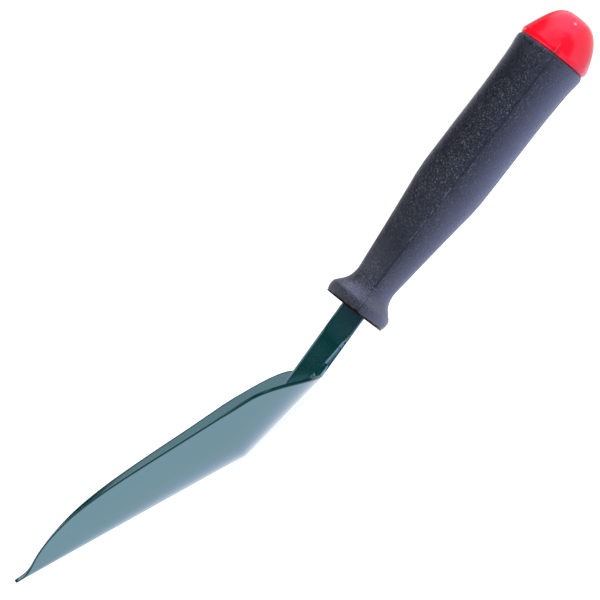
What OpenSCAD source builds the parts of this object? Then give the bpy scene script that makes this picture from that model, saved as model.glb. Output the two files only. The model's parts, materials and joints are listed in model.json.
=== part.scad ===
// Hand planting trowel: a pressed sheet-steel trough on a cranked flat-bar
// shank, in a rigid red handle core with a soft black grip moulded over it.
// Millimetres. Shapes are drawn in the keel frame (origin where the nib starts
// at the blade's tip, X back along the keel, Z towards the open side), then laid
// down at rest.

/* [Blade] */
// Length of the blade, tip to rear edge
blade_len = 148; // [140:0.5:155]
// Width of the blade at its widest
blade_w = 66; // [60:0.2:68]
// Thickness of the steel sheet
sheet = 1.5; // [1:0.1:2]
// Radius of the trough across the blade at the heel
trough_r = 36.9; // [35:0.1:45]
// Growth of that radius for each millimetre behind the heel
trough_flare = 0.37; // [0.2:0.01:0.5]
// Distance from the nib to the widest place
widest_at = 116; // [110:0.5:120]
// Distance from the nib to the heel, where the keel bends up
heel_at = 104; // [98:0.5:108]
// Angle that the keel rises behind the heel
heel_rise = 16.5; // [10:0.5:20]

/* [Shank] */
// Depth of the flat bar
bar_d = 10.9; // [8:0.1:12]
// Thickness of the flat bar
bar_t = 5.4; // [4:0.1:6]
// Angle of the exposed bar above the keel
bar_rise = 25; // [23.5:0.1:28]
// Length of the tang inside the handle
tang_len = 76; // [60:1:105]
// Length of the foot that lies in the blade's neck
foot_len = 27; // [15:0.5:30]

/* [Handle] */
// Angle of the handle above the keel
handle_rise = 23.1; // [20:0.1:25]
// Length of the grip, flange face to red end
grip_len = 129; // [120:1:140]
// Height of the red domed end
dome_h = 18.8; // [14:0.2:22]
// Thickness of the soft grip over the core
grip_wall = 2.3; // [1.6:0.1:2.6]

/* [Hidden] */

$fn = 96;
deep = 60;                              // Longer than any cut needs to be

// --- Smooth curve through [position, value] knots -------------------------
function slope(k, i) =
    let (a = max(i - 1, 0), b = min(i + 1, len(k) - 1))
    (k[b][1] - k[a][1]) / (k[b][0] - k[a][0]);
function span(k, x, i = 0) =
    i >= len(k) - 2 || x < k[i + 1][0] ? i : span(k, x, i + 1);
function curve(k, x) =
    let (i = span(k, x),
         d = k[i + 1][0] - k[i][0],
         u = (x - k[i][0]) / d)
    k[i][1] * (1 + 2 * u) * (1 - u) * (1 - u)
    + k[i + 1][1] * (3 - 2 * u) * u * u
    + slope(k, i) * d * u * (1 - u) * (1 - u)
    - slope(k, i + 1) * d * (1 - u) * u * u;

// --- Blade: keel, plan outline and cross-section --------------------------
heel_r = 6;                             // Radius of the bend at the heel
nib = 1.5;                              // Length of the blunt nib
tip_w = 1;                              // Half width of the nib
tip_power = 1.9;                        // Fullness of the outline to the tip
rear_powers = [2.1, 1.9];               // Fullness of the rounded rear end
rear_cut = 0.985;                       // Where the rear end is cut straight
// Height of the rim's outer edge from the tip to the heel, both as shares
rim_knots = [[0, 0.004], [0.03, 0.038], [0.06, 0.12], [0.115, 0.31], [0.19, 0.49],
             [0.31, 0.68], [0.46, 0.805], [0.65, 0.89], [0.86, 0.957], [1, 1]];

half_w = blade_w / 2;
rear_len = blade_len - nib - widest_at;
bend_from = heel_at - heel_r * tan(heel_rise / 2);
bend_to = bend_from + heel_r * sin(heel_rise);
rear_x = widest_at + rear_cut * rear_len;

function keel(x) =
    x <= bend_from ? 0
    : x < bend_to ? heel_r - sqrt(pow(heel_r, 2) - pow(x - bend_from, 2))
    : (x - heel_at) * tan(heel_rise);
function plan(x) =
    x < widest_at
    ? tip_w + (half_w - tip_w) * (1 - pow(1 - max(x, 0) / widest_at, tip_power))
    : half_w * pow(1 - pow((x - widest_at) / rear_len, rear_powers[0]), 1 / rear_powers[1]);
function arc_rise(r, w) = r - sqrt(r * r - w * w);
function rim(x) =
    x < heel_at
    ? arc_rise(trough_r, plan(heel_at)) * curve(rim_knots, max(x, 0) / heel_at)
    : arc_rise(trough_r + trough_flare * (x - heel_at), plan(x));
function radius(x) = (pow(plan(x), 2) + pow(rim(x), 2)) / (2 * rim(x));
function spread(x) = 2 * atan(rim(x) / plan(x));
// Point of the section at x, a share k of -1 to 1 across, raised by depth
function skin(x, k, depth) =
    let (r = radius(x), a = k * spread(x))
    [x, (r - depth) * sin(a), keel(x) + r - (r - depth) * cos(a)];

// Stations crowd at the tip, at the heel's bend and at the rear
front = 26;
back = 22;
stations = concat(
    [-nib, -nib / 2],
    [for (i = [0 : front - 1]) bend_from * (1 - cos(90 * i / front))],
    [for (i = [0 : 3]) bend_from + (bend_to - bend_from) * i / 4],
    [for (i = [0 : back]) bend_to + (rear_x - bend_to) * sin(90 * i / back)]);
across = 16;

// Sheet from depth_a to depth_b inside the outer surface
module trough(depth_a, depth_b) {
    rows = len(stations);
    row = across + 1;
    layer = rows * row;
    points = [for (depth = [depth_a, depth_b], x = stations, j = [0 : across])
        skin(x, 2 * j / across - 1, depth)];
    outer = [for (i = [0 : rows - 2], j = [0 : across - 1]) let (p = i * row + j)
        each [[p, p + row, p + 1], [p + 1, p + row, p + row + 1]]];
    inner = [for (f = outer) [f[2] + layer, f[1] + layer, f[0] + layer]];
    sides = [for (i = [0 : rows - 2]) let (p = i * row, q = p + across)
        each [[p, p + layer, p + row], [p + row, p + layer, p + row + layer],
              [q, q + row, q + layer], [q + row, q + row + layer, q + layer]]];
    last = (rows - 1) * row;
    ends = [for (j = [0 : across - 1])
        each [[j, j + 1, j + layer], [j + 1, j + 1 + layer, j + layer],
              [last + j, last + j + layer, last + j + 1],
              [last + j + 1, last + j + layer, last + j + 1 + layer]]];
    polyhedron(points, concat(outer, inner, sides, ends));
}

// --- Handle outline, [distance from the flange face, radius] --------------
grip_knots = [[0, 13], [0.8, 13.7], [3.2, 14.1], [5, 13.7], [6.6, 12.4], [8.8, 10.6],
              [11.2, 9.55], [14.5, 9.1], [20, 9.6], [36, 11.3], [52, 13.1], [60, 14.05],
              [68, 14.4], [102, 14.45], [114, 14.75], [122, 15.15], [126.6, 15.7],
              [128.2, 15.5], [129, 14.9]];
dome_powers = [1.1, 2.6];               // Straight flank and blunt nose
dome_bulge = 2.2;                       // Lip of the dome beside the joint
dome_r = 15.75;
skirt = 3.2;                            // Soft material in front of the core
step_s = 0.4;

grip_scale = grip_len / 129;
function grip_r(s) = curve(grip_knots, s / grip_scale);
function dome_at(e) = dome_r * pow(1 - pow(e, dome_powers[0]), 1 / dome_powers[1]);

grip_s = concat([for (s = [0 : step_s : 8]) s], [for (s = [9 : 2 : grip_len - 6]) s],
                [for (s = [grip_len - 5 : step_s : grip_len]) s]);
grip_line = [for (s = grip_s) [grip_r(s), s]];
core_s = [for (s = [skirt : 2 : grip_len - 8]) s];
core_line = concat([for (s = core_s) [max(grip_r(max(s, 6)) - grip_wall, 6.6), s]],
                   [[12.9, grip_len - 4], [12.9, grip_len]]);
dome_steps = 20;
dome_line = concat(
    [[14.9, grip_len], [15.4, grip_len + 0.5], [dome_r, grip_len + dome_bulge]],
    [for (i = [1 : dome_steps]) let (e = sin(90 * i / dome_steps))
        [i == dome_steps ? 0 : dome_at(e), grip_len + dome_bulge + e * (dome_h - dome_bulge)]]);

// --- Shank outline, in the keel frame --------------------------------------
flange_at = [170.4, 29.7];              // Centre of the flange face, [x, z]
bend_out = 2.4;                         // The bar bends this far in front of it
axis = [cos(handle_rise), sin(handle_rise)];
side = [-axis[1], axis[0]];
bar_dir = [cos(bar_rise), sin(bar_rise)];
bar_side = [-bar_dir[1], bar_dir[0]];
bend_at = flange_at - bend_out * axis;
mitre = (bar_rise - handle_rise) / 2;
mitre_up = bar_d / 2 / cos(mitre) * [-sin(handle_rise + mitre), cos(handle_rise + mitre)];

foot_seat = 0.12;                       // The flat foot bridges the round neck
foot_x = rear_x - foot_len;
toe_h = 2.6;                            // Height of the foot's rounded toe
function seat(x) = keel(x) + sheet + foot_seat;
function along(x, edge) =               // Height of the bar's edge at x
    let (p = bend_at + edge * mitre_up) p[1] - (p[0] - x) * tan(bar_rise);

tang_end = flange_at + tang_len * axis;
tang_tip = 9;                           // Length of the tang's chisel point
notch = [5, 1.6];                       // Length and depth of each barb notch
notch_at = [24, 38, 52];                // Distance of each notch from the flange

module bar_outline() {
    polygon([
        [foot_x, seat(foot_x)],
        [rear_x, seat(rear_x)],
        [rear_x, along(rear_x, -1)],
        bend_at - mitre_up,
        tang_end - tang_tip * axis - bar_d / 2 * side,
        tang_end - bar_d / 5 * side,
        tang_end + bar_d / 5 * side,
        tang_end - tang_tip * axis + bar_d / 2 * side,
        bend_at + mitre_up,
        [foot_x + 3, along(foot_x + 3, 1)],
        [foot_x, seat(foot_x) + toe_h]]);
}

// Turns a drawing of [x, z] upright into the keel frame, thick across Y
module upright(thick) {
    translate([0, thick / 2, 0])
        rotate([90, 0, 0])
            linear_extrude(thick)
                children();
}

// Places what is drawn along Z from the flange face onto the handle's axis
module on_handle() {
    translate([flange_at[0], 0, flange_at[1]])
        rotate([0, 90 - handle_rise, 0])
            children();
}

// Half space beyond the bevel that is ground on the bar's lower corner
bevel_len = 24;                         // Length behind the blade
bevel_h = 3.3;                          // Height up the bar's side at the blade
bevel_in = 1.9;                         // Depth under the bar at the blade
module bevel_cut() {
    normal = cross([-bevel_len, 0, bevel_h], [-bevel_len, bevel_in, 0]);
    out = normal / norm(normal);
    start = [rear_x, along(rear_x, -1)] + bevel_len * bar_dir;
    translate([start[0], -bar_t / 2, start[1]])
        rotate([0, -bar_rise, 0])
            intersection() {
                rotate([0, acos(out[2]), atan2(out[1], out[0])])
                    translate([-deep / 2, -deep / 2, 0])
                        cube([deep, deep, 8]);
                translate([-bevel_len - 0.6, -10, -10])
                    cube([bevel_len + 4, 20, 20]);
            }
}

module bar() {
    difference() {
        upright(bar_t)
            bar_outline();
        bevel_cut();
        mirror([0, 1, 0])
            bevel_cut();
        on_handle()
            for (s = notch_at, turn = [0, 180])
                rotate([0, 0, turn])
                    translate([bar_d / 2 - notch[1], -bar_t, s])
                        cube([deep, 2 * bar_t, notch[0]]);
    }
}

// --- Welds, one fillet bead on each side of the foot ------------------------
bead_r = 2.4;                           // Radius of the bead in the neck
tail_r = 1.4;                           // Radius where it runs out
tail_len = 6.5;                         // Length that it runs on past the blade
module bead_end(x, r, lift) {
    translate([x, bar_t / 2, seat(x) + lift])
        sphere(r, $fn = 20);
}

module bead() {
    difference() {
        union() {
            hull() {
                bead_end(foot_x + 1, bead_r * 0.8, 0);
                bead_end(rear_x - 1, bead_r, 0.4);
            }
            hull() {
                bead_end(rear_x - 1, bead_r, 0.4);
                translate([0, -0.9, 0])
                    bead_end(rear_x + tail_len, tail_r, 1.9);
            }
        }
        trough(-deep / 4, sheet);
        bar();
    }
}

// --- Laying down at rest, on the heel and the flange's rim ------------------
// Point of the handle's outline on its lower (-1) or upper (1) side
function outline_at(p, up) = flange_at + p[1] * axis + up * p[0] * side;
heel_centre = [bend_from, heel_r];
function tangent(q) =
    let (d = q - heel_centre) atan2(d[1], d[0]) + asin(heel_r / norm(d));
rest_pitch = min([for (p = grip_line) tangent(outline_at(p, -1))]);
function laid_x(q) = q[0] * cos(rest_pitch) + q[1] * sin(rest_pitch);
function laid_z(q) = q[1] * cos(rest_pitch) - q[0] * sin(rest_pitch);
near_x = laid_x([-nib, 0]);
far_x = max([for (p = dome_line, up = [-1, 1]) laid_x(outline_at(p, up))]);
table_z = laid_z(heel_centre) - heel_r;

module at_rest() {
    translate([-(near_x + far_x) / 2, 0, -table_z])
        rotate([0, rest_pitch, 0])
            children();
}

// --- Sub-parts ---------------------------------------------------------------
module blade() {
    color("darkslategray")
        at_rest()
            trough(0, sheet);
}

module shank() {
    color("darkgreen")
        at_rest()
            bar();
}

module weld_left() {
    color("seagreen")
        at_rest()
            bead();
}

module weld_right() {
    color("seagreen")
        at_rest()
            mirror([0, 1, 0])
                bead();
}

module core_blank() {
    on_handle()
        rotate_extrude()
            polygon(concat([[0, skirt]], core_line, dome_line));
}

module handle_core() {
    color("red")
        at_rest()
            difference() {
                core_blank();
                bar();
            }
}

module grip_sleeve() {
    color("darkslateblue")
        at_rest()
            difference() {
                on_handle()
                    rotate_extrude()
                        polygon(concat([[0, 0]], grip_line, [[0, grip_len]]));
                core_blank();
                bar();
            }
}

blade();
shank();
weld_left();
weld_right();
handle_core();
grip_sleeve();
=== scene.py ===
"""Hand planting trowel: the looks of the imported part, built round its frame."""

import json
from math import atan, atan2, cos, hypot, pi, radians, sin, sqrt, tan

import bmesh
import bpy
from mathutils import Matrix, Vector, noise

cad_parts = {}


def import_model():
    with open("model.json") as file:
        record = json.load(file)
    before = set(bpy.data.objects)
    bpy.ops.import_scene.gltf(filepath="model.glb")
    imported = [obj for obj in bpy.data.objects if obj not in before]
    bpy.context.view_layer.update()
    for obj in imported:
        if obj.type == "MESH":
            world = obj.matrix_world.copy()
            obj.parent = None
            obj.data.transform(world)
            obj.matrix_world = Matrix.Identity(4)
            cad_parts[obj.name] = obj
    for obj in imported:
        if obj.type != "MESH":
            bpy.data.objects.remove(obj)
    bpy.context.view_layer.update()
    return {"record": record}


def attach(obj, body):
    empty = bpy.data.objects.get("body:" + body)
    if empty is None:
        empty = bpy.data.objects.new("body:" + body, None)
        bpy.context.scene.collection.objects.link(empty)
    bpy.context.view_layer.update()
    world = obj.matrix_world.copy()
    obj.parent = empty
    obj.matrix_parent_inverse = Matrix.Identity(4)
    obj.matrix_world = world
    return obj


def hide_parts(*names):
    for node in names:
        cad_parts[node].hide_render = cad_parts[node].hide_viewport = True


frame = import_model()
MM = 0.001
MERGE = 0.002       # Points closer than this, in millimetres, become one

# ---------------------------------------------------------------------------
# Driving dimensions, in millimetres and degrees, as the part's source has them
# ---------------------------------------------------------------------------
SHEET = 1.5
BLADE_LEN, BLADE_W, NIB = 148.0, 66.0, 1.5
TROUGH_R, TROUGH_FLARE = 36.9, 0.37
WIDEST_AT, HEEL_AT = 116.0, 104.0
HEEL_RISE, HEEL_R = 16.5, 6.0
TIP_W, TIP_POWER = 1.0, 1.9
REAR_POWERS = (2.1, 1.9)
REAR_CUT = 0.985
RIM_KNOTS = [(0, 0.004), (0.03, 0.038), (0.06, 0.12), (0.115, 0.31), (0.19, 0.49),
             (0.31, 0.68), (0.46, 0.805), (0.65, 0.89), (0.86, 0.957), (1, 1)]

HANDLE_RISE, BAR_RISE = 23.1, 25.0
FLANGE_AT = (170.4, 29.7)
BAR_D, BAR_T, BEND_OUT = 10.9, 5.4, 2.4
FOOT_LEN, FOOT_SEAT, TOE_H = 27.0, 0.12, 2.6

GRIP_LEN = 129.0
GRIP_KNOTS = [(0, 13), (0.8, 13.7), (3.2, 14.1), (5, 13.7), (6.6, 12.4), (8.8, 10.6),
              (11.2, 9.55), (14.5, 9.1), (20, 9.6), (36, 11.3), (52, 13.1), (60, 14.05),
              (68, 14.4), (102, 14.45), (114, 14.75), (122, 15.15), (126.6, 15.7),
              (128.2, 15.5), (129, 14.9)]
# The red end is 0.4 mm shorter here than in the source, with a fuller curve
DOME_H, DOME_R, DOME_BULGE = 18.4, 15.75, 2.2
DOME_POWERS = (0.95, 3.2)

half_w = BLADE_W / 2
bend_from = HEEL_AT - HEEL_R * tan(radians(HEEL_RISE / 2))
bend_to = bend_from + HEEL_R * sin(radians(HEEL_RISE))
rear_len = BLADE_LEN - NIB - WIDEST_AT
rear_x = WIDEST_AT + REAR_CUT * rear_len
foot_x = rear_x - FOOT_LEN

# ---------------------------------------------------------------------------
# Frames: the handle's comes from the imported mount, the keel's from the handle's
# ---------------------------------------------------------------------------
mounts = {m["name"]: m for m in frame["record"]["mounts"]}
seat = mounts["flange_seat"]
handle_dir = -Vector(seat["axis"])
flange = Vector((seat["pos_m"][0], 0, seat["pos_m"][2]))
rest_pitch = radians(HANDLE_RISE) - atan2(handle_dir.z, handle_dir.x)
turn = Matrix.Rotation(rest_pitch, 4, "Y")
keel_frame = Matrix.Translation(
    flange - turn @ Vector((FLANGE_AT[0] * MM, 0, FLANGE_AT[1] * MM))) @ turn
# Local Z runs along the handle to the red end, local X to its upper side
handle_frame = Matrix.Translation(flange) @ Matrix(
    ((-handle_dir.z, 0, handle_dir.x), (0, -1, 0), (handle_dir.x, 0, handle_dir.z))).to_4x4()


# ---------------------------------------------------------------------------
# Small helpers
# ---------------------------------------------------------------------------
def curve(knots, x):
    """Smooth curve through (position, value) knots."""
    last = len(knots) - 1
    i = 0
    while i < last - 1 and x >= knots[i + 1][0]:
        i += 1

    def slope(j):
        a, b = max(j - 1, 0), min(j + 1, last)
        return (knots[b][1] - knots[a][1]) / (knots[b][0] - knots[a][0])

    d = knots[i + 1][0] - knots[i][0]
    u = (x - knots[i][0]) / d
    return (knots[i][1] * (1 + 2 * u) * (1 - u) ** 2
            + knots[i + 1][1] * (3 - 2 * u) * u * u
            + slope(i) * d * u * (1 - u) ** 2
            - slope(i + 1) * d * (1 - u) * u * u)


def make_object(name, verts, faces, place, material, nodes, arris=None):
    """Smooth mesh piece from points in millimetres, placed by a frame.

    It takes the place of the CAD nodes. arris holds 1 for each point on an edge that gets painted
    shade.
    """
    mesh = bpy.data.meshes.new(name)
    mesh.from_pydata([place @ (Vector(v) * MM) for v in verts], [], faces)
    if arris:
        mesh.attributes.new("arris", "FLOAT", "POINT").data.foreach_set("value", arris)
    bm = bmesh.new()
    bm.from_mesh(mesh)
    bmesh.ops.remove_doubles(bm, verts=bm.verts, dist=MERGE * MM)
    bmesh.ops.recalc_face_normals(bm, faces=bm.faces)
    bm.to_mesh(mesh)
    bm.free()
    for p in mesh.polygons:
        p.use_smooth = True
    obj = bpy.data.objects.new(name, mesh)
    bpy.context.scene.collection.objects.link(obj)
    obj.data.materials.append(material)
    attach(obj, "root")
    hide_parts(*nodes)


def grid_faces(rows, cols, start=0, wrap=False):
    """Quads of a rows x cols grid of points, closed across its columns if it wraps."""
    width = cols if wrap else cols - 1
    return [(start + i * cols + j, start + i * cols + (j + 1) % cols,
             start + (i + 1) * cols + (j + 1) % cols, start + (i + 1) * cols + j)
            for i in range(rows - 1) for j in range(width)]


def nodes_of(name):
    """New node material, its tree and its shader."""
    mat = bpy.data.materials.new(name)
    mat.use_nodes = True
    tree = mat.node_tree
    return mat, tree, tree.nodes["Principled BSDF"]


def add(tree, kind, **values):
    """Adds a node. Values are attributes, or inputs by name with spaces as _."""
    node = tree.nodes.new(kind)
    for key, value in values.items():
        if hasattr(node, key):
            setattr(node, key, value)
        else:
            node.inputs[key.replace("_", " ")].default_value = value
    return node


def ramp(tree, source, stops):
    """Colour ramp over a socket; stops are (position, colour or grey)."""
    node = tree.nodes.new("ShaderNodeValToRGB")
    tree.links.new(source, node.inputs["Fac"])
    elements = node.color_ramp.elements
    while len(elements) < len(stops):
        elements.new(0.5)
    for element, (place, value) in zip(elements, stops):
        element.position = place
        grey = (value,) * 3 if isinstance(value, (int, float)) else value
        element.color = (*grey, 1)
    return node.outputs["Color"]


def mix(tree, factor, a, b, blend="MIX"):
    """Mixes two colours, each a socket or a constant."""
    node = tree.nodes.new("ShaderNodeMix")
    node.data_type = "RGBA"
    node.blend_type = blend
    for socket, value in ((node.inputs[0], factor), (node.inputs[6], a), (node.inputs[7], b)):
        if isinstance(value, bpy.types.NodeSocket):
            tree.links.new(value, socket)
        elif isinstance(value, (int, float)):
            socket.default_value = value
        else:
            socket.default_value = (*value, 1)
    return node.outputs[2]


def own_coords(tree):
    """The blade and shank's coordinates, in metres."""
    return tree.nodes.new("ShaderNodeTexCoord").outputs["Object"]


def handle_coords(tree):
    """Coordinates in the handle's frame, in metres."""
    inverse = handle_frame.inverted()
    mapping = add(tree, "ShaderNodeMapping")
    mapping.inputs["Rotation"].default_value = inverse.to_euler("XYZ")
    mapping.inputs["Location"].default_value = inverse.translation
    tree.links.new(own_coords(tree), mapping.inputs["Vector"])
    return mapping.outputs["Vector"]


def noise_of(tree, coords, scale, detail=2.0, roughness=0.5):
    """Noise over coordinates; scale is features per metre."""
    node = add(tree, "ShaderNodeTexNoise", Scale=scale, Detail=detail, Roughness=roughness)
    tree.links.new(coords, node.inputs["Vector"])
    return node.outputs["Fac"]


def math(tree, operation, a, b=0.0, c=0.0):
    """Maths node over sockets or numbers."""
    node = add(tree, "ShaderNodeMath", operation=operation)
    for socket, value in zip(node.inputs, (a, b, c)):
        if isinstance(value, bpy.types.NodeSocket):
            tree.links.new(value, socket)
        else:
            socket.default_value = value
    return node.outputs[0]


def fade(tree, value, start, end):
    """1 where the value is at start, falling smoothly to 0 at end."""
    node = add(tree, "ShaderNodeMapRange", interpolation_type="SMOOTHSTEP",
               From_Min=start, From_Max=end, To_Min=1.0, To_Max=0.0)
    tree.links.new(value, node.inputs["Value"])
    return node.outputs["Result"]


def split(tree, coords):
    """Sockets of the x, y and z of coordinates."""
    node = tree.nodes.new("ShaderNodeSeparateXYZ")
    tree.links.new(coords, node.inputs[0])
    return node.outputs


def bump(tree, layers, bsdf, coat=False):
    """Chain of bumps, (height socket, distance in mm, strength), into the shader's normal."""
    normal = None
    for height, distance, strength in layers:
        node = add(tree, "ShaderNodeBump", Strength=strength, Distance=distance * MM)
        tree.links.new(height, node.inputs["Height"])
        if normal:
            tree.links.new(normal, node.inputs["Normal"])
        normal = node.outputs["Normal"]
    tree.links.new(normal, bsdf.inputs["Normal"])
    if coat:
        tree.links.new(normal, bsdf.inputs["Coat Normal"])


# ---------------------------------------------------------------------------
# Materials
# ---------------------------------------------------------------------------
def enamel():
    """Glossy dark green enamel with a faint orange peel, and painted shade on the sheet's edges.
    """
    mat, tree, bsdf = nodes_of("green_enamel")
    at = own_coords(tree)
    cloud = ramp(tree, noise_of(tree, at, 45, 3), [(0.35, 0), (0.65, 1)])
    colour = mix(tree, cloud, (0.0008, 0.050, 0.046), (0.0015, 0.060, 0.055))
    # Painted shade: where arris is 1, the sheet's edges get a darker green and less gloss
    arris = add(tree, "ShaderNodeAttribute", attribute_name="arris").outputs["Fac"]
    colour = mix(tree, arris, colour, (0.002, 0.034, 0.036))
    tree.links.new(colour, bsdf.inputs["Base Color"])
    rough = ramp(tree, noise_of(tree, at, 120, 4), [(0.3, 0.15), (0.7, 0.20)])
    tree.links.new(rough, bsdf.inputs["Roughness"])
    bsdf.inputs["IOR"].default_value = 2.3
    shine = math(tree, "MULTIPLY_ADD", arris, -0.9, 1.0)
    tree.links.new(shine, bsdf.inputs["Specular IOR Level"])
    bsdf.inputs["Specular Tint"].default_value = (0.5, 0.8, 1.0, 1)
    tree.links.new(math(tree, "MULTIPLY", shine, 0.4), bsdf.inputs["Coat Weight"])
    bsdf.inputs["Coat Roughness"].default_value = 0.06
    bsdf.inputs["Sheen Weight"].default_value = 0.10
    bsdf.inputs["Sheen Roughness"].default_value = 0.2
    bsdf.inputs["Sheen Tint"].default_value = (0.85, 0.85, 1.0, 1)
    bump(tree, [(noise_of(tree, at, 260, 2), 0.03, 0.35)], bsdf, coat=True)
    return mat


# The mould seam, in millimetres in the handle's frame
SEAM_LIGHT = ((1.5, 11.0), (35.0, 51.5), (54.6, 62.8))  # Stretches where it shows light
SEAM_CROSSES = (11.8, 53.4)     # Places of its short cross marks
SEAM_OFF = 0.7                  # How far it lies below the middle of the side
SEAM_WANDER = 0.8               # How far it strays
SEAM_DARK = (0.15, 0.70)        # Half widths of the dark line, full and with its soft edge
SEAM_PALE = (0.08, 0.26)        # The same of the light line
SEAM_PALE_OFF = 0.25            # How far the light line lies above the dark line's middle
CROSS_REACH = (0.5, 1.0)        # Half lengths of a cross mark, full and with its soft ends


def seam(tree, x, z, at):
    """Masks of the mould seam along the handle's two sides: dark line and light line."""
    wander = math(tree, "MULTIPLY_ADD", noise_of(tree, at, 60, 1), SEAM_WANDER * MM,
                  (SEAM_OFF - SEAM_WANDER / 2) * MM)
    off = math(tree, "ADD", x, wander)
    dark = fade(tree, math(tree, "ABSOLUTE", off), SEAM_DARK[0] * MM, SEAM_DARK[1] * MM)
    pale_off = math(tree, "ADD", off, -SEAM_PALE_OFF * MM)
    narrow = fade(tree, math(tree, "ABSOLUTE", pale_off), SEAM_PALE[0] * MM,
                  SEAM_PALE[1] * MM)
    shown = None
    for low, high in SEAM_LIGHT:
        middle, half = (low + high) / 2, (high - low) / 2
        here = fade(tree, math(tree, "ABSOLUTE", math(tree, "ADD", z, -middle * MM)),
                    (half - 1) * MM, half * MM)
        shown = math(tree, "MAXIMUM", shown, here) if shown else here
    broken = ramp(tree, noise_of(tree, at, 500, 2), [(0.38, 0), (0.52, 1)])
    light = math(tree, "MULTIPLY", math(tree, "MULTIPLY", narrow, shown), broken)
    for place in SEAM_CROSSES:
        across = fade(tree, math(tree, "ABSOLUTE", math(tree, "ADD", z, -place * MM)),
                      SEAM_PALE[0] * MM, 0.25 * MM)
        reach = fade(tree, math(tree, "ABSOLUTE", off), CROSS_REACH[0] * MM,
                     CROSS_REACH[1] * MM)
        light = math(tree, "MAXIMUM", light, math(tree, "MULTIPLY", across, reach))
    return dark, light


PALE_FROM, PALE_TO = 17, 34   # Where the paler tone behind the flange fades out
FACE_SHADE_RAGGED = 1.2               # How far the painted shade at the flange's face strays
FACE_SHADE_ENDS = (-0.15, 0.35)            # Where it ends, full and with its soft edge


def rubber():
    """Black soft rubber: pebbled grain whose pale specks are stronger on the upper side as
    painted light, mould seam, a paler tone near the flange, painted shade at the flange's face.
    """
    mat, tree, bsdf = nodes_of("black_rubber")
    at = handle_coords(tree)
    x, _, z = split(tree, at)
    patches = ramp(tree, noise_of(tree, at, 60, 4, 0.6), [(0.3, 0), (0.7, 1)])
    base = mix(tree, patches, (0.007, 0.008, 0.012), (0.013, 0.014, 0.021))
    paler_near_flange = math(tree, "MULTIPLY", fade(tree, z, PALE_FROM * MM, PALE_TO * MM), 0.6)
    base = mix(tree, paler_near_flange, base, (0.038, 0.039, 0.052))
    pebble = noise_of(tree, at, 1700, 2, 0.6)
    specks = ramp(tree, pebble, [(0.54, 0), (0.66, 1)])
    strong = ramp(tree, noise_of(tree, at, 55, 2), [(0.36, 0.40), (0.55, 1)])
    # The pale specks are the grain; making them stronger on the upper side is painted light
    upper = math(tree, "MULTIPLY_ADD", fade(tree, x, 1.0 * MM, -9.0 * MM), 0.55, 0.45)
    strong = math(tree, "MULTIPLY", strong, upper)
    colour = mix(tree, math(tree, "MULTIPLY", specks, strong), base, (0.095, 0.098, 0.112))
    dark, light = seam(tree, x, z, at)
    colour = mix(tree, math(tree, "MULTIPLY", dark, 0.9), colour, (0.003, 0.003, 0.005))
    colour = mix(tree, math(tree, "MULTIPLY", light, 0.8), colour, (0.10, 0.11, 0.15))
    # Painted shade: a dark ragged ring at the flange's face, with its gloss and sheen taken down
    ragged = math(tree, "MULTIPLY_ADD", noise_of(tree, at, 350, 3), -FACE_SHADE_RAGGED * MM, z)
    face_shade = fade(tree, ragged, FACE_SHADE_ENDS[0] * MM, FACE_SHADE_ENDS[1] * MM)
    colour = mix(tree, face_shade, colour, (0.012, 0.003, 0.005))
    tree.links.new(colour, bsdf.inputs["Base Color"])
    rough = ramp(tree, noise_of(tree, at, 300, 3), [(0.3, 0.33), (0.7, 0.42)])
    tree.links.new(rough, bsdf.inputs["Roughness"])
    bsdf.inputs["IOR"].default_value = 2.2
    bare = math(tree, "MULTIPLY_ADD", face_shade, -0.9, 1.0)
    tree.links.new(math(tree, "MULTIPLY", bare, 0.5), bsdf.inputs["Specular IOR Level"])
    tree.links.new(math(tree, "MULTIPLY", bare, 0.30), bsdf.inputs["Sheen Weight"])
    bsdf.inputs["Specular Tint"].default_value = (0.62, 0.70, 1.0, 1)
    bsdf.inputs["Sheen Roughness"].default_value = 0.22
    bsdf.inputs["Sheen Tint"].default_value = (0.70, 0.74, 1.0, 1)
    bump(tree, [(pebble, 0.30, 1.0), (light, 0.12, 0.8)], bsdf)
    return mat


# Marks on the red end, in millimetres in the handle's frame
GATE_AT = (0.2, 9.6, 143.7)     # Pale gate mark
SCAR_AT = (0.3, 8.6, 144.9)     # Middle of the short line beside it
GROOVE_SHADE_AT = (0.1, 15.6, 130.0)    # Painted shade: darker patch at the rim, by the groove to the grip
PARTING_X = 0.25                # Where the parting line runs
PARTING_TOP = 4.0               # How far it shows past the grip


def near(tree, coords, place, full, none):
    """1 within a distance of a place in millimetres, falling to 0 at another."""
    far = add(tree, "ShaderNodeVectorMath", operation="DISTANCE")
    tree.links.new(coords, far.inputs[0])
    far.inputs[1].default_value = [v * MM for v in place]
    return fade(tree, far.outputs["Value"], full * MM, none * MM)


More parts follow.
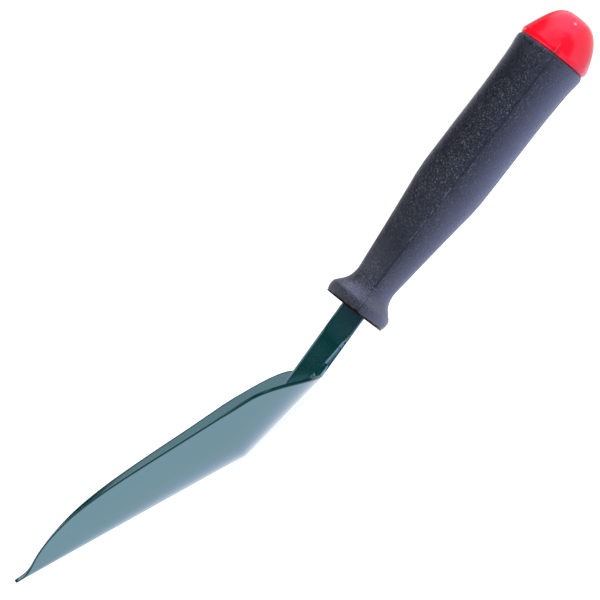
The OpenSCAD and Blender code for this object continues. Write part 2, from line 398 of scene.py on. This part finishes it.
def red_plastic():
    """Glossy moulded red plastic: a pale gate mark on its nose and painted shade at its rim by
    the groove.
    """
    mat, tree, bsdf = nodes_of("red_plastic")
    at = handle_coords(tree)
    x, y, z = split(tree, at)
    cloud = ramp(tree, noise_of(tree, at, 70, 3), [(0.35, 0), (0.65, 1)])
    colour = mix(tree, cloud, (0.86, 0.002, 0.016), (0.92, 0.003, 0.020))
    # Painted shade: darker red on the rim by the groove
    colour = mix(tree, math(tree, "MULTIPLY", near(tree, at, GROOVE_SHADE_AT, 0.8, 2.6), 0.6),
                 colour, (0.42, 0.001, 0.010))
    gate = near(tree, at, GATE_AT, 0.3, 0.9)
    line = fade(tree, math(tree, "ABSOLUTE", math(tree, "ADD", x, -PARTING_X * MM)),
                0.10 * MM, 0.35 * MM)
    low = fade(tree, z, (GRIP_LEN + PARTING_TOP) * MM, (GRIP_LEN + PARTING_TOP + 1.5) * MM)
    nose = near(tree, at, SCAR_AT, 1.2, 1.7)
    side = fade(tree, y, 2.0 * MM, 0.0)
    mark = math(tree, "MULTIPLY", math(tree, "MULTIPLY", math(tree, "MAXIMUM", low, nose), side),
                line)
    colour = mix(tree, math(tree, "MULTIPLY", mark, 0.35), colour, (1.0, 0.10, 0.14))
    colour = mix(tree, math(tree, "MULTIPLY", gate, 0.8), colour, (1.0, 0.42, 0.48))
    tree.links.new(colour, bsdf.inputs["Base Color"])
    rough = ramp(tree, noise_of(tree, at, 200, 3), [(0.3, 0.16), (0.7, 0.24)])
    tree.links.new(rough, bsdf.inputs["Roughness"])
    bsdf.inputs["IOR"].default_value = 1.65
    bsdf.inputs["Specular Tint"].default_value = (1.0, 0.65, 1.0, 1)
    bump(tree, [(noise_of(tree, at, 500, 2), 0.05, 0.4), (gate, 0.3, 0.8)], bsdf)
    return mat


green, black, red = enamel(), rubber(), red_plastic()


# ---------------------------------------------------------------------------
# Blade: one sheet with rounded edges all round
# ---------------------------------------------------------------------------
def keel(x):
    """Height of the keel's underside."""
    if x <= bend_from:
        return 0.0
    if x < bend_to:
        return HEEL_R - sqrt(HEEL_R ** 2 - (x - bend_from) ** 2)
    return (x - HEEL_AT) * tan(radians(HEEL_RISE))


def plan(x):
    """Half width, seen from above."""
    if x < WIDEST_AT:
        return TIP_W + (half_w - TIP_W) * (1 - (1 - max(x, 0) / WIDEST_AT) ** TIP_POWER)
    u = (x - WIDEST_AT) / rear_len
    return half_w * (1 - u ** REAR_POWERS[0]) ** (1 / REAR_POWERS[1])


def arc_rise(r, w):
    """Rise of an arc of radius r over the half width w."""
    return r - sqrt(r * r - w * w)


def rim(x):
    """Height of the rim above the keel."""
    if x < HEEL_AT:
        return arc_rise(TROUGH_R, plan(HEEL_AT)) * curve(RIM_KNOTS, max(x, 0) / HEEL_AT)
    return arc_rise(TROUGH_R + TROUGH_FLARE * (x - HEEL_AT), plan(x))


def section(x):
    """Outer radius and half angle, in radians, of the blade's section."""
    w, h = plan(x), rim(x)
    return (w * w + h * h) / (2 * h), 2 * atan(h / w)


EDGE, CUT = 0.45, 0.6       # Rounding of the sheet's edges, and their cut face's share
SHADE_FADE = 0.3            # Width over which the painted shade on the edges fades
# Steps over half an edge: (distance from the edge, share of the half thickness, arris: 1 where
# the edge gets painted shade)
ROUND = [(0, 0, 0), (0, CUT - 0.15, 0)]
ROUND += [(EDGE * (1 - cos(a)), CUT + (1 - CUT) * sin(a), 1)
          for a in [pi / 12 * i for i in range(7)]]
ROUND += [(EDGE + SHADE_FADE, 1, 0)]
REACH = ROUND[-1][0]
# Height that the far shoulder stands above the near one, along the keel
LIFT_KNOTS = [(60, 0), (84, 0.13), (97, 0.43), (109, 0.74), (117, 0.42), (122, 0.58),
              (128, 1.36), (134, 2.18), (140, 1.8), (rear_x, 0)]
CUT_SHADE_SPAN = (100.0, 112.0)   # Where the cut face's painted shade sets in, along the keel


def lift(x, share):
    """Lift of the far shoulder, share being 0 at the near rim and 1 at the far rim."""
    return curve(LIFT_KNOTS, x) * max(0, 2 * share - 1) ** 2 if x > 60 else 0


def blade():
    """The sheet: an outer and an inner layer that meet in the cut face all round."""
    front, heel, back = 90, 8, 50       # Stations in front of, in and behind the heel's bend
    start, end = REACH - NIB, rear_x - REACH
    stations = [(d - NIB, f, a) for d, f, a in ROUND] + [(start / 2, 1, 0)]
    stations += [(bend_from * (1 - cos(pi / 2 * i / front)), 1, 0) for i in range(front)]
    stations += [(bend_from + (bend_to - bend_from) * i / heel, 1, 0) for i in range(heel)]
    stations += [(bend_to + (end - bend_to) * sin(pi / 2 * i / back), 1, 0)
                 for i in range(back)]
    stations += [(rear_x - d, f, a) for d, f, a in reversed(ROUND)]
    across = 64                         # Steps from rim to rim
    layers, arris = [], []
    for face in (1, -1):
        points = []
        for x, full, at_end in stations:
            r, half = section(x)
            arc = r * half
            step = 0.05                 # For the slope of the rim, seen from above
            slant = (plan(min(x + step, rear_x)) - plan(x - step)) / (2 * step)
            wide = min(sqrt(1 + slant * slant), 0.45 * arc / REACH)
            # Painted shade on the cut face, growing along the keel behind the heel
            cut_shade = min(1, max(0, (x - CUT_SHADE_SPAN[0]) / (CUT_SHADE_SPAN[1] - CUT_SHADE_SPAN[0])))
            border = [(d * wide, f, max(a, cut_shade) if d < EDGE else a) for d, f, a in ROUND]
            edge = REACH * wide
            inner = [(edge + 2 * (arc - edge) * j / across, 1, 0) for j in range(1, across)]
            places = border + inner + [(2 * arc - d, f, a) for d, f, a in reversed(border)]
            for place, thick, at_rim in places:
                depth = SHEET / 2 * (1 - face * thick * full)
                angle = place / r - half
                points.append((x, (r - depth) * sin(angle),
                               keel(x) + r - (r - depth) * cos(angle)
                               + lift(x, place / (2 * arc))))
                arris.append(max(at_end, at_rim))
        layers.append(points)
    rows = len(stations)
    cols = len(layers[0]) // rows
    faces = grid_faces(rows, cols)
    verts = layers[0] + layers[1]
    faces += [tuple(reversed(f)) for f in grid_faces(rows, cols, len(layers[0]))]
    make_object("blade_sheet", verts, faces, keel_frame, green,
                ["blade"], arris)


# ---------------------------------------------------------------------------
# Handle: lathed pieces
# ---------------------------------------------------------------------------
def grip_r(s):
    """The grip's radius, s from the flange's face."""
    return curve(GRIP_KNOTS, s)


def lathe(line, segments):
    """Points and faces of a closed turned body; line is (radius, place along Z)."""
    verts, faces = [], []
    for radius, place in line[1:-1]:
        for j in range(segments):
            a = 2 * pi * j / segments
            verts.append((radius * cos(a), radius * sin(a), place))
    rows = len(line) - 2
    faces += grid_faces(rows, segments, wrap=True)
    first, last = len(verts), len(verts) + 1
    verts += [(0, 0, line[0][1]), (0, 0, line[-1][1])]
    end = (rows - 1) * segments
    for j in range(segments):
        n = (j + 1) % segments
        faces.append((first, n, j))
        faces.append((last, end + j, end + n))
    return verts, faces


FLASH = 0.12        # Thin flash of the soft material over the flange's face
FACE_R = 13.55      # Outer radius of that flash


def grip_sleeve():
    """The soft grip with its flange, closed at both ends round the core."""
    places = [0.1 * i for i in range(160)] + [16 + 0.5 * i for i in range(216)]
    places += [124 + 0.1 * i for i in range(51)]
    line = [(0, -FLASH)] + [(r, -FLASH) for r in (7, 10, 12.6, 13.3)]
    line += [(FACE_R, -FLASH / 2), (FACE_R, 0.05)]
    line += [(max(grip_r(s), 13.5) if s < 0.6 else grip_r(s), s) for s in places[1:]]
    line += [(14.3, GRIP_LEN), (13.4, GRIP_LEN), (12.6, GRIP_LEN), (0, GRIP_LEN)]
    verts, faces = lathe(line, 192)
    make_object("grip_sleeve_soft", verts, faces, handle_frame, black,
                ["grip_sleeve"])


DOME_LEAN = 0.45    # The dome's middle sits this far below the axis
# The lip between grip and dome: (radius, distance past the grip)
LIP = ((0, -3), (12.6, -3), (12.8, -0.4), (14.0, -0.1), (14.7, 0), (14.9, 0.02),
       (15.2, 0.2), (15.4, 0.5), (15.6, 1.1))


def handle_core():
    """The red end: a rounded lip behind the grip, then the dome."""
    top = GRIP_LEN + DOME_BULGE
    line = [(r, GRIP_LEN + s) for r, s in LIP] + [(DOME_R, top)]
    steps = 90
    for i in range(1, steps + 1):
        e = sin(pi / 2 * i / steps)
        r = DOME_R * (1 - e ** DOME_POWERS[0]) ** (1 / DOME_POWERS[1]) if i < steps else 0
        line.append((r, top + e * (DOME_H - DOME_BULGE)))
    verts, faces = lathe(line, 192)
    verts = [(x - DOME_LEAN * sin(pi * min(1, max(0, z - GRIP_LEN) / DOME_H)), y, z)
             for x, y, z in verts]
    make_object("red_end", verts, faces, handle_frame, red,
                ["handle_core"])


blade()
grip_sleeve()
handle_core()


# ---------------------------------------------------------------------------
# Shank: a flat bar with soft top corners and hollow-ground lower corners
# ---------------------------------------------------------------------------
handle_dir_k = Vector((cos(radians(HANDLE_RISE)), sin(radians(HANDLE_RISE))))
bend_at = Vector(FLANGE_AT) - BEND_OUT * handle_dir_k
mitre = radians((BAR_RISE - HANDLE_RISE) / 2)
lean = radians(HANDLE_RISE) + mitre
mitre_up = BAR_D / 2 / cos(mitre) * Vector((-sin(lean), cos(lean)))
TOP_ROUND = 0.9         # Radius of the upper corners
HOLLOW_AT_BLADE, HOLLOW_FALL = 3.1, 0.105      # Height, and loss of it per mm behind
HOLLOW_IN = 0.85        # How far the hollow cuts in
HOLLOW_ENDS, RUN_OUT = 20.5, 6      # Its end behind the blade, and the length it fades over
SMALL_HOLLOW = 0.3      # Where there is no hollow, the lower corners are this round
INSIDE_HANDLE = 6.0     # How far the bar reaches past the flange's face
TOE = 3.0               # Length of the foot's sloping toe


def seat_z(x):
    """Height of the foot's underside."""
    return keel(x) + SHEET + FOOT_SEAT


def edge_z(x, up):
    """Height of the bar's lower (-1) or upper (1) edge."""
    p = bend_at + up * mitre_up
    rise = BAR_RISE if x < p.x else HANDLE_RISE
    return p.y - (p.x - x) * tan(radians(rise))


def bar_section(x, bottom, top, hollow):
    """Half of a loop of points at x, from the middle of the bottom to that of the top."""
    t = BAR_T / 2
    inward = HOLLOW_IN * min(1, hollow / 1.5)
    line = [(0, bottom), ((t - inward) * 0.6, bottom)]
    steps = 10
    for i in range(steps + 1):
        a = pi / 2 * i / steps
        cove = (t - inward * cos(a), bottom + hollow * sin(a))
        flat = (t - inward * (1 - i / steps), bottom + hollow * i / steps)
        line.append(tuple(0.9 * c + 0.1 * f for c, f in zip(cove, flat)))
    r = min(TOP_ROUND, (top - bottom) / 3)
    low, high = bottom + hollow, top - r
    line += [(t, low + (high - low) * k) for k in (0.04, 0.3, 0.7, 0.96)]
    line += [(t - r * (1 - cos(a)), high + r * sin(a))
             for a in [pi / 2 * i / 6 for i in range(7)]]
    line.append((0, top))
    return [(x, y, z) for y, z in line]


def shank():
    """The bar, as loops from the toe to inside the handle."""
    loops = []
    count = 46
    for i in range(9):
        x = foot_x + TOE * i / 8
        low = seat_z(foot_x) + TOE_H
        top = low + (edge_z(foot_x + TOE, 1) - low) * sin(pi / 2 * i / 8)
        loops.append(bar_section(x, seat_z(x), top, SMALL_HOLLOW))
    for i in range(1, count + 1):
        x = foot_x + TOE + (rear_x - foot_x - TOE) * i / count
        loops.append(bar_section(x, seat_z(x), edge_z(x, 1), SMALL_HOLLOW))
    end_x = FLANGE_AT[0] + INSIDE_HANDLE
    for i in range(61):
        x = rear_x + 0.02 + (end_x - rear_x) * i / 60
        behind = x - rear_x
        share = min(1, max(0, (HOLLOW_ENDS - behind) / RUN_OUT))
        full = HOLLOW_AT_BLADE - HOLLOW_FALL * behind
        hollow = SMALL_HOLLOW + (full - SMALL_HOLLOW) * share
        loops.append(bar_section(x, edge_z(x, -1), edge_z(x, 1), hollow))
    rings = [half + [(x, -y, z) for x, y, z in reversed(half[1:-1])] for half in loops]
    cols = len(rings[0])
    verts = [p for ring in rings for p in ring]
    faces = grid_faces(len(rings), cols, wrap=True)
    faces += [tuple(range(cols)), tuple(range(len(verts) - cols, len(verts)))]
    make_object("shank_bar", verts, faces, keel_frame, green,
                ["shank"])


# ---------------------------------------------------------------------------
# Welds: rippled beads beside the foot, each with a short tail behind the blade
# ---------------------------------------------------------------------------
BEAD_R, TAIL_R, TAIL_LEN = 2.3, 0.7, 4.6
RIPPLE, RIPPLE_STEP = 0.015, 1.5    # Share of the radius, and spacing
UNEVEN = 0.06                       # Share of the radius by which the bead varies


def weld(side):
    """Bead along the foot's lower corner; side is -1 (towards -Y) or 1."""
    first, rows, cols = foot_x + 0.6, 110, 20
    last = rear_x + TAIL_LEN
    verts = []
    for i in range(rows + 1):
        x = first + (last - first) * i / rows
        tail = max(0, (x - rear_x + 1.5) / (TAIL_LEN + 1.5))
        r = BEAD_R + (TAIL_R - BEAD_R) * min(1, 1.15 * tail)
        r *= (1 + RIPPLE * sin(2 * pi * x / RIPPLE_STEP)
              + UNEVEN * noise.noise(Vector((x * 0.4, side, 0))))
        near_end = min(1, (x - first) / 1.6, (last - x) / 0.7)
        r *= sqrt(max(0.0004, 1 - (1 - near_end) ** 2))
        y0 = BAR_T / 2 - 0.5 * tail
        z0 = seat_z(min(x, rear_x)) + max(0, x - rear_x) * 0.38 + 0.2 - 0.25 * tail
        for j in range(cols):
            a = 2 * pi * j / cols
            y, z = y0 + r * cos(a), z0 + r * sin(a)
            if x < rear_x:
                rr = section(x)[0]
                zc = keel(x) + rr
                d = hypot(y, z - zc)
                most = rr - SHEET + 0.3
                if d > most:
                    y, z = y * most / d, zc + (z - zc) * most / d
            verts.append((x, side * y, z))
    faces = grid_faces(rows + 1, cols, wrap=True)
    faces += [tuple(range(cols)), tuple(range(len(verts) - cols, len(verts)))]
    name, node = ("bead_left", "weld_left") if side > 0 else ("bead_right", "weld_right")
    make_object(name, verts, faces, keel_frame, green, [node])


shank()
weld(1)
weld(-1)


# ---------------------------------------------------------------------------
# Camera, fitted to the photograph in the keel frame
# ---------------------------------------------------------------------------
def camera():
    """Camera with the position, turn and lens that fit the photograph's outline."""
    azimuth, elevation, roll = radians(1.165), radians(1.520), radians(-29.226)
    distance, shift_x, shift_y, focal_px = 1.400, 0.001177, -0.009344, 3493.2
    photo_px, sensor = 600, 36.0
    centre = Vector((0.150, 0, 0.035))
    forward = Vector((-sin(azimuth) * cos(elevation), cos(azimuth) * cos(elevation),
                      -sin(elevation)))
    right0 = forward.cross(Vector((0, 0, 1))).normalized()
    up0 = right0.cross(forward)
    right = right0 * cos(roll) + up0 * sin(roll)
    up = up0 * cos(roll) - right0 * sin(roll)
    place = centre - forward * distance - right * shift_x - up * shift_y
    turned = Matrix((right, up, -forward)).transposed().to_4x4()
    data = bpy.data.cameras.new("camera")
    data.sensor_width = sensor
    data.lens = focal_px / photo_px * sensor
    data.clip_start, data.clip_end = 0.05, 20
    cam = bpy.data.objects.new("camera", data)
    bpy.context.scene.collection.objects.link(cam)
    cam.matrix_world = keel_frame @ Matrix.Translation(place) @ turned
    bpy.context.scene.camera = cam


# ---------------------------------------------------------------------------
# Studio
# ---------------------------------------------------------------------------
def seen_directly(tree):
    """1 on camera, glossy and transmission rays, which see the plain backdrop."""
    path = tree.nodes.new("ShaderNodeLightPath")
    best = path.outputs["Is Camera Ray"]
    for name in ("Is Glossy Ray", "Is Transmission Ray"):
        node = tree.nodes.new("ShaderNodeMath")
        node.operation = "MAXIMUM"
        tree.links.new(best, node.inputs[0])
        tree.links.new(path.outputs[name], node.inputs[1])
        best = node.outputs[0]
    return best


def world(level):
    """White to look at, and a plain level of light on the object."""
    new = bpy.data.worlds.new("studio")
    new.use_nodes = True
    tree = new.node_tree
    back = tree.nodes["Background"]
    back.inputs["Color"].default_value = (1, 1, 1, 1)
    lift = add(tree, "ShaderNodeMapRange", From_Min=0.0, From_Max=1.0, To_Min=level, To_Max=1.0)
    tree.links.new(seen_directly(tree), lift.inputs["Value"])
    tree.links.new(lift.outputs["Result"], back.inputs["Strength"])
    bpy.context.scene.world = new


def floor():
    """Plain pale floor that keeps the object's shadow and that reflections don't see."""
    mesh = bpy.data.meshes.new("floor")
    r = 3.0
    mesh.from_pydata([(-r, -r, 0), (r, -r, 0), (r, r, 0), (-r, r, 0)], [], [(0, 1, 2, 3)])
    obj = bpy.data.objects.new("floor", mesh)
    bpy.context.scene.collection.objects.link(obj)
    mat = bpy.data.materials.new("pale_floor")
    mat.use_nodes = True
    tree = mat.node_tree
    tree.nodes.remove(tree.nodes["Principled BSDF"])
    diffuse = add(tree, "ShaderNodeBsdfDiffuse", Color=(0.85, 0.86, 0.88, 1))
    glow = add(tree, "ShaderNodeEmission", Color=(1, 1, 1, 1))
    lift = add(tree, "ShaderNodeMath", operation="MULTIPLY")
    lift.inputs[1].default_value = 0.8
    tree.links.new(seen_directly(tree), lift.inputs[0])
    tree.links.new(lift.outputs[0], glow.inputs["Strength"])
    both = tree.nodes.new("ShaderNodeAddShader")
    tree.links.new(diffuse.outputs[0], both.inputs[0])
    tree.links.new(glow.outputs[0], both.inputs[1])
    tree.links.new(both.outputs[0], tree.nodes["Material Output"].inputs["Surface"])
    mesh.materials.append(mat)
    obj.visible_glossy = False


def lamp(name, place, target, size, power):
    """Rectangular area lamp that reflections don't see."""
    data = bpy.data.lights.new(name, "AREA")
    data.shape = "RECTANGLE"
    data.size, data.size_y = size
    data.energy = power
    obj = bpy.data.objects.new(name, data)
    bpy.context.scene.collection.objects.link(obj)
    obj.location = place
    obj.rotation_mode = "QUATERNION"
    obj.rotation_quaternion = (Vector(target) - Vector(place)).to_track_quat("-Z", "Y")
    obj.visible_glossy = False


def card(name, corners, levels=(0, 0), colour=(1, 1, 1)):
    """Card that only reflections see. Its level runs from its first to its second edge."""
    mesh = bpy.data.meshes.new(name)
    mesh.from_pydata(corners, [], [(0, 1, 2, 3)])
    mesh.uv_layers.new(name="along")
    for loop, place in zip(mesh.uv_layers[0].data, (0, 0, 1, 1)):
        loop.uv = (place, place)
    mat = bpy.data.materials.new(name)
    mat.use_nodes = True
    tree = mat.node_tree
    tree.nodes.remove(tree.nodes["Principled BSDF"])
    place = tree.nodes.new("ShaderNodeUVMap")
    place.uv_map = "along"
    level = add(tree, "ShaderNodeMapRange", To_Min=levels[0], To_Max=levels[1])
    tree.links.new(split(tree, place.outputs["UV"])[0], level.inputs["Value"])
    glow = add(tree, "ShaderNodeEmission", Color=(*colour, 1))
    tree.links.new(level.outputs["Result"], glow.inputs["Strength"])
    tree.links.new(glow.outputs[0], tree.nodes["Material Output"].inputs["Surface"])
    mesh.materials.append(mat)
    obj = bpy.data.objects.new(name, mesh)
    bpy.context.scene.collection.objects.link(obj)
    obj.visible_camera = False
    obj.visible_diffuse = False
    obj.visible_shadow = False


def strip(x0, x1, start, end):
    """Corners of a card between two lines along X, each at its (y, z)."""
    return [(x0, *start), (x1, *start), (x1, *end), (x0, *end)]


BLUE = (0.90, 0.94, 1.24)      # The slightly blue light from below


def cards():
    """What the object mirrors: dark in front and above, grey over the blade."""
    low, high, roof, back = (-0.9, -0.42), (-0.9, 0.80), (-0.30, 1.0), (0.95, 1.0)
    card("front_flag", strip(-0.6, 1.5, low, high))
    card("front_low_flag", strip(0.50, 1.5, low, (-0.9, -0.8)))
    card("bar_flag", strip(-0.15, 0.03, low, (-0.38, -0.68)))
    card("slope_flag", [(-0.6, *high), (1.5, *high), (0.63, *roof), (-0.6, *roof)])
    card("top_flag", strip(-0.6, 0.63, roof, back))
    card("blade_card", strip(-0.24, -0.008, (-0.18, 0.13), (0.12, 0.13)), (0.60, 0.60))
    card("low_card", strip(0.03, 0.50, (-0.89, 0.12), (-0.89, -0.42)), (0.32, 0.48), BLUE)
    card("under_card", strip(0.03, 0.50, low, (-0.12, -0.70)), (0.50, 1.05), BLUE)
    card("under_back_card", strip(0.03, 0.50, (-0.12, -0.70), (0.9, -0.45)), (1.25, 1.7), BLUE)
    card("neck_card", strip(-1.2, 0.02, (0.30, -0.62), (1.3, -0.35)), (1.0, 1.5),
         (0.97, 0.97, 1.04))
    card("neck_flag", [(0, -0.065, 0.0), (0, -0.003, 0.0), (0, -0.003, 0.045),
                       (0, -0.065, 0.045)])
    card("lip_card", strip(-0.7, -0.22, (-0.88, -0.30), (-0.88, 0.55)), (0.35, 0.35))
    card("rim_flag", strip(-0.6, -0.13, back, (1.7, 0.55)))
    card("back_flag", strip(0.22, 0.95, (1.5, 0.15), (1.5, 1.5)), (0.35, 0.25))
    card("end_card", [(1.3, -0.75, -0.15), (1.3, 1.3, -0.15), (1.0, 1.3, 1.3), (1.0, -0.75, 1.3)],
         (1.7, 1.7), (0.9, 0.85, 1.0))


camera()
world(0.5)
floor()
cards()
lamp("key", (0.7, -1.0, 0.7), (0, 0, 0.03), (1.0, 0.8), 12)
lamp("fill", (-0.9, -0.8, 0.7), (0, 0, 0.03), (0.9, 0.7), 5)
lamp("end", (1.25, -0.2, 0.80), (0.15, 0, 0.04), (0.5, 0.5), 2.0)

bpy.context.scene.view_settings.view_transform = "Standard"
